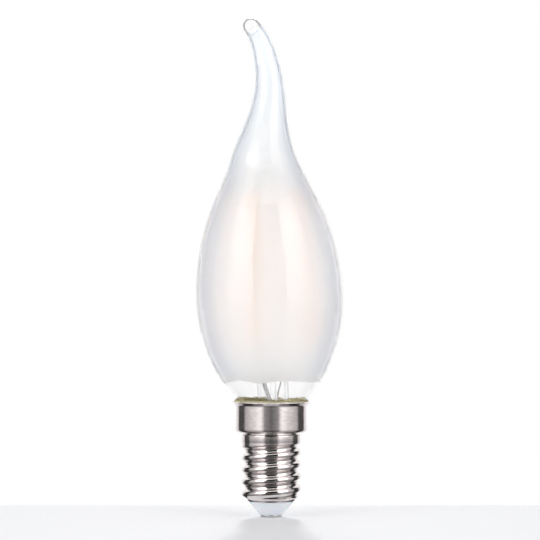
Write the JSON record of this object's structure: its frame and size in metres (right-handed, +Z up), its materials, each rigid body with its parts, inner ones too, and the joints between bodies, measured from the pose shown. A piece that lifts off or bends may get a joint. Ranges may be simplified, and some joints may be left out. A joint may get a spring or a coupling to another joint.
{
  "type": "candle bulb",
  "caption": "Frosted LED filament candle bulb with a bent glass tail and an E14 screw cap.",
  "frame": {"origin": "centre of the centre contact's flat face, on the cap's axis", "axes": "+Z up the cap's axis to the glass, +X to the viewer's right, -Y towards the viewer"},
  "size_m": [0.0343, 0.0342, 0.1164],
  "materials": {
    "nickel_plate": "polished",
    "contact_plate": "satin",
    "insulator_body": "gloss",
    "cement": "matte",
    "frosted_glass": "frosted inside",
    "clear_glass": "clear",
    "lead_metal": "satin",
    "wire_metal": "satin",
    "sleeve_fabric": "matte",
    "ceramic": "matte",
    "phosphor": "matte",
    "board": "satin",
    "black_package": "matte",
    "can": "satin"
  },
  "bodies": {
    "root": {"screw_shell": "nickel_plate", "centre_contact": "contact_plate", "insulator": "insulator_body", "capping_cement": "cement", "glass_envelope": "frosted_glass", "glass_stem": "clear_glass", "rear_lead_wire": "lead_metal", "front_lead_wire": "lead_metal", "lead_sleeve": "sleeve_fabric", "neutral_wire": "lead_metal", "fusible_resistor": "ceramic", "support_wire_1": "wire_metal", "support_wire_2": "wire_metal", "bridge_wire_1": "wire_metal", "bridge_wire_2": "wire_metal", "filament_1": "phosphor", "filament_2": "phosphor", "filament_3": "phosphor", "filament_4": "phosphor", "filament_1_lower_tab": "wire_metal", "filament_1_upper_tab": "wire_metal", "filament_2_lower_tab": "wire_metal", "filament_2_upper_tab": "wire_metal", "filament_3_lower_tab": "wire_metal", "filament_3_upper_tab": "wire_metal", "filament_4_lower_tab": "wire_metal", "filament_4_upper_tab": "wire_metal", "circuit_board": "board", "bridge_rectifier": "black_package", "driver_chip": "black_package", "smoothing_capacitor": "can"}
  },
  "joints": []
}
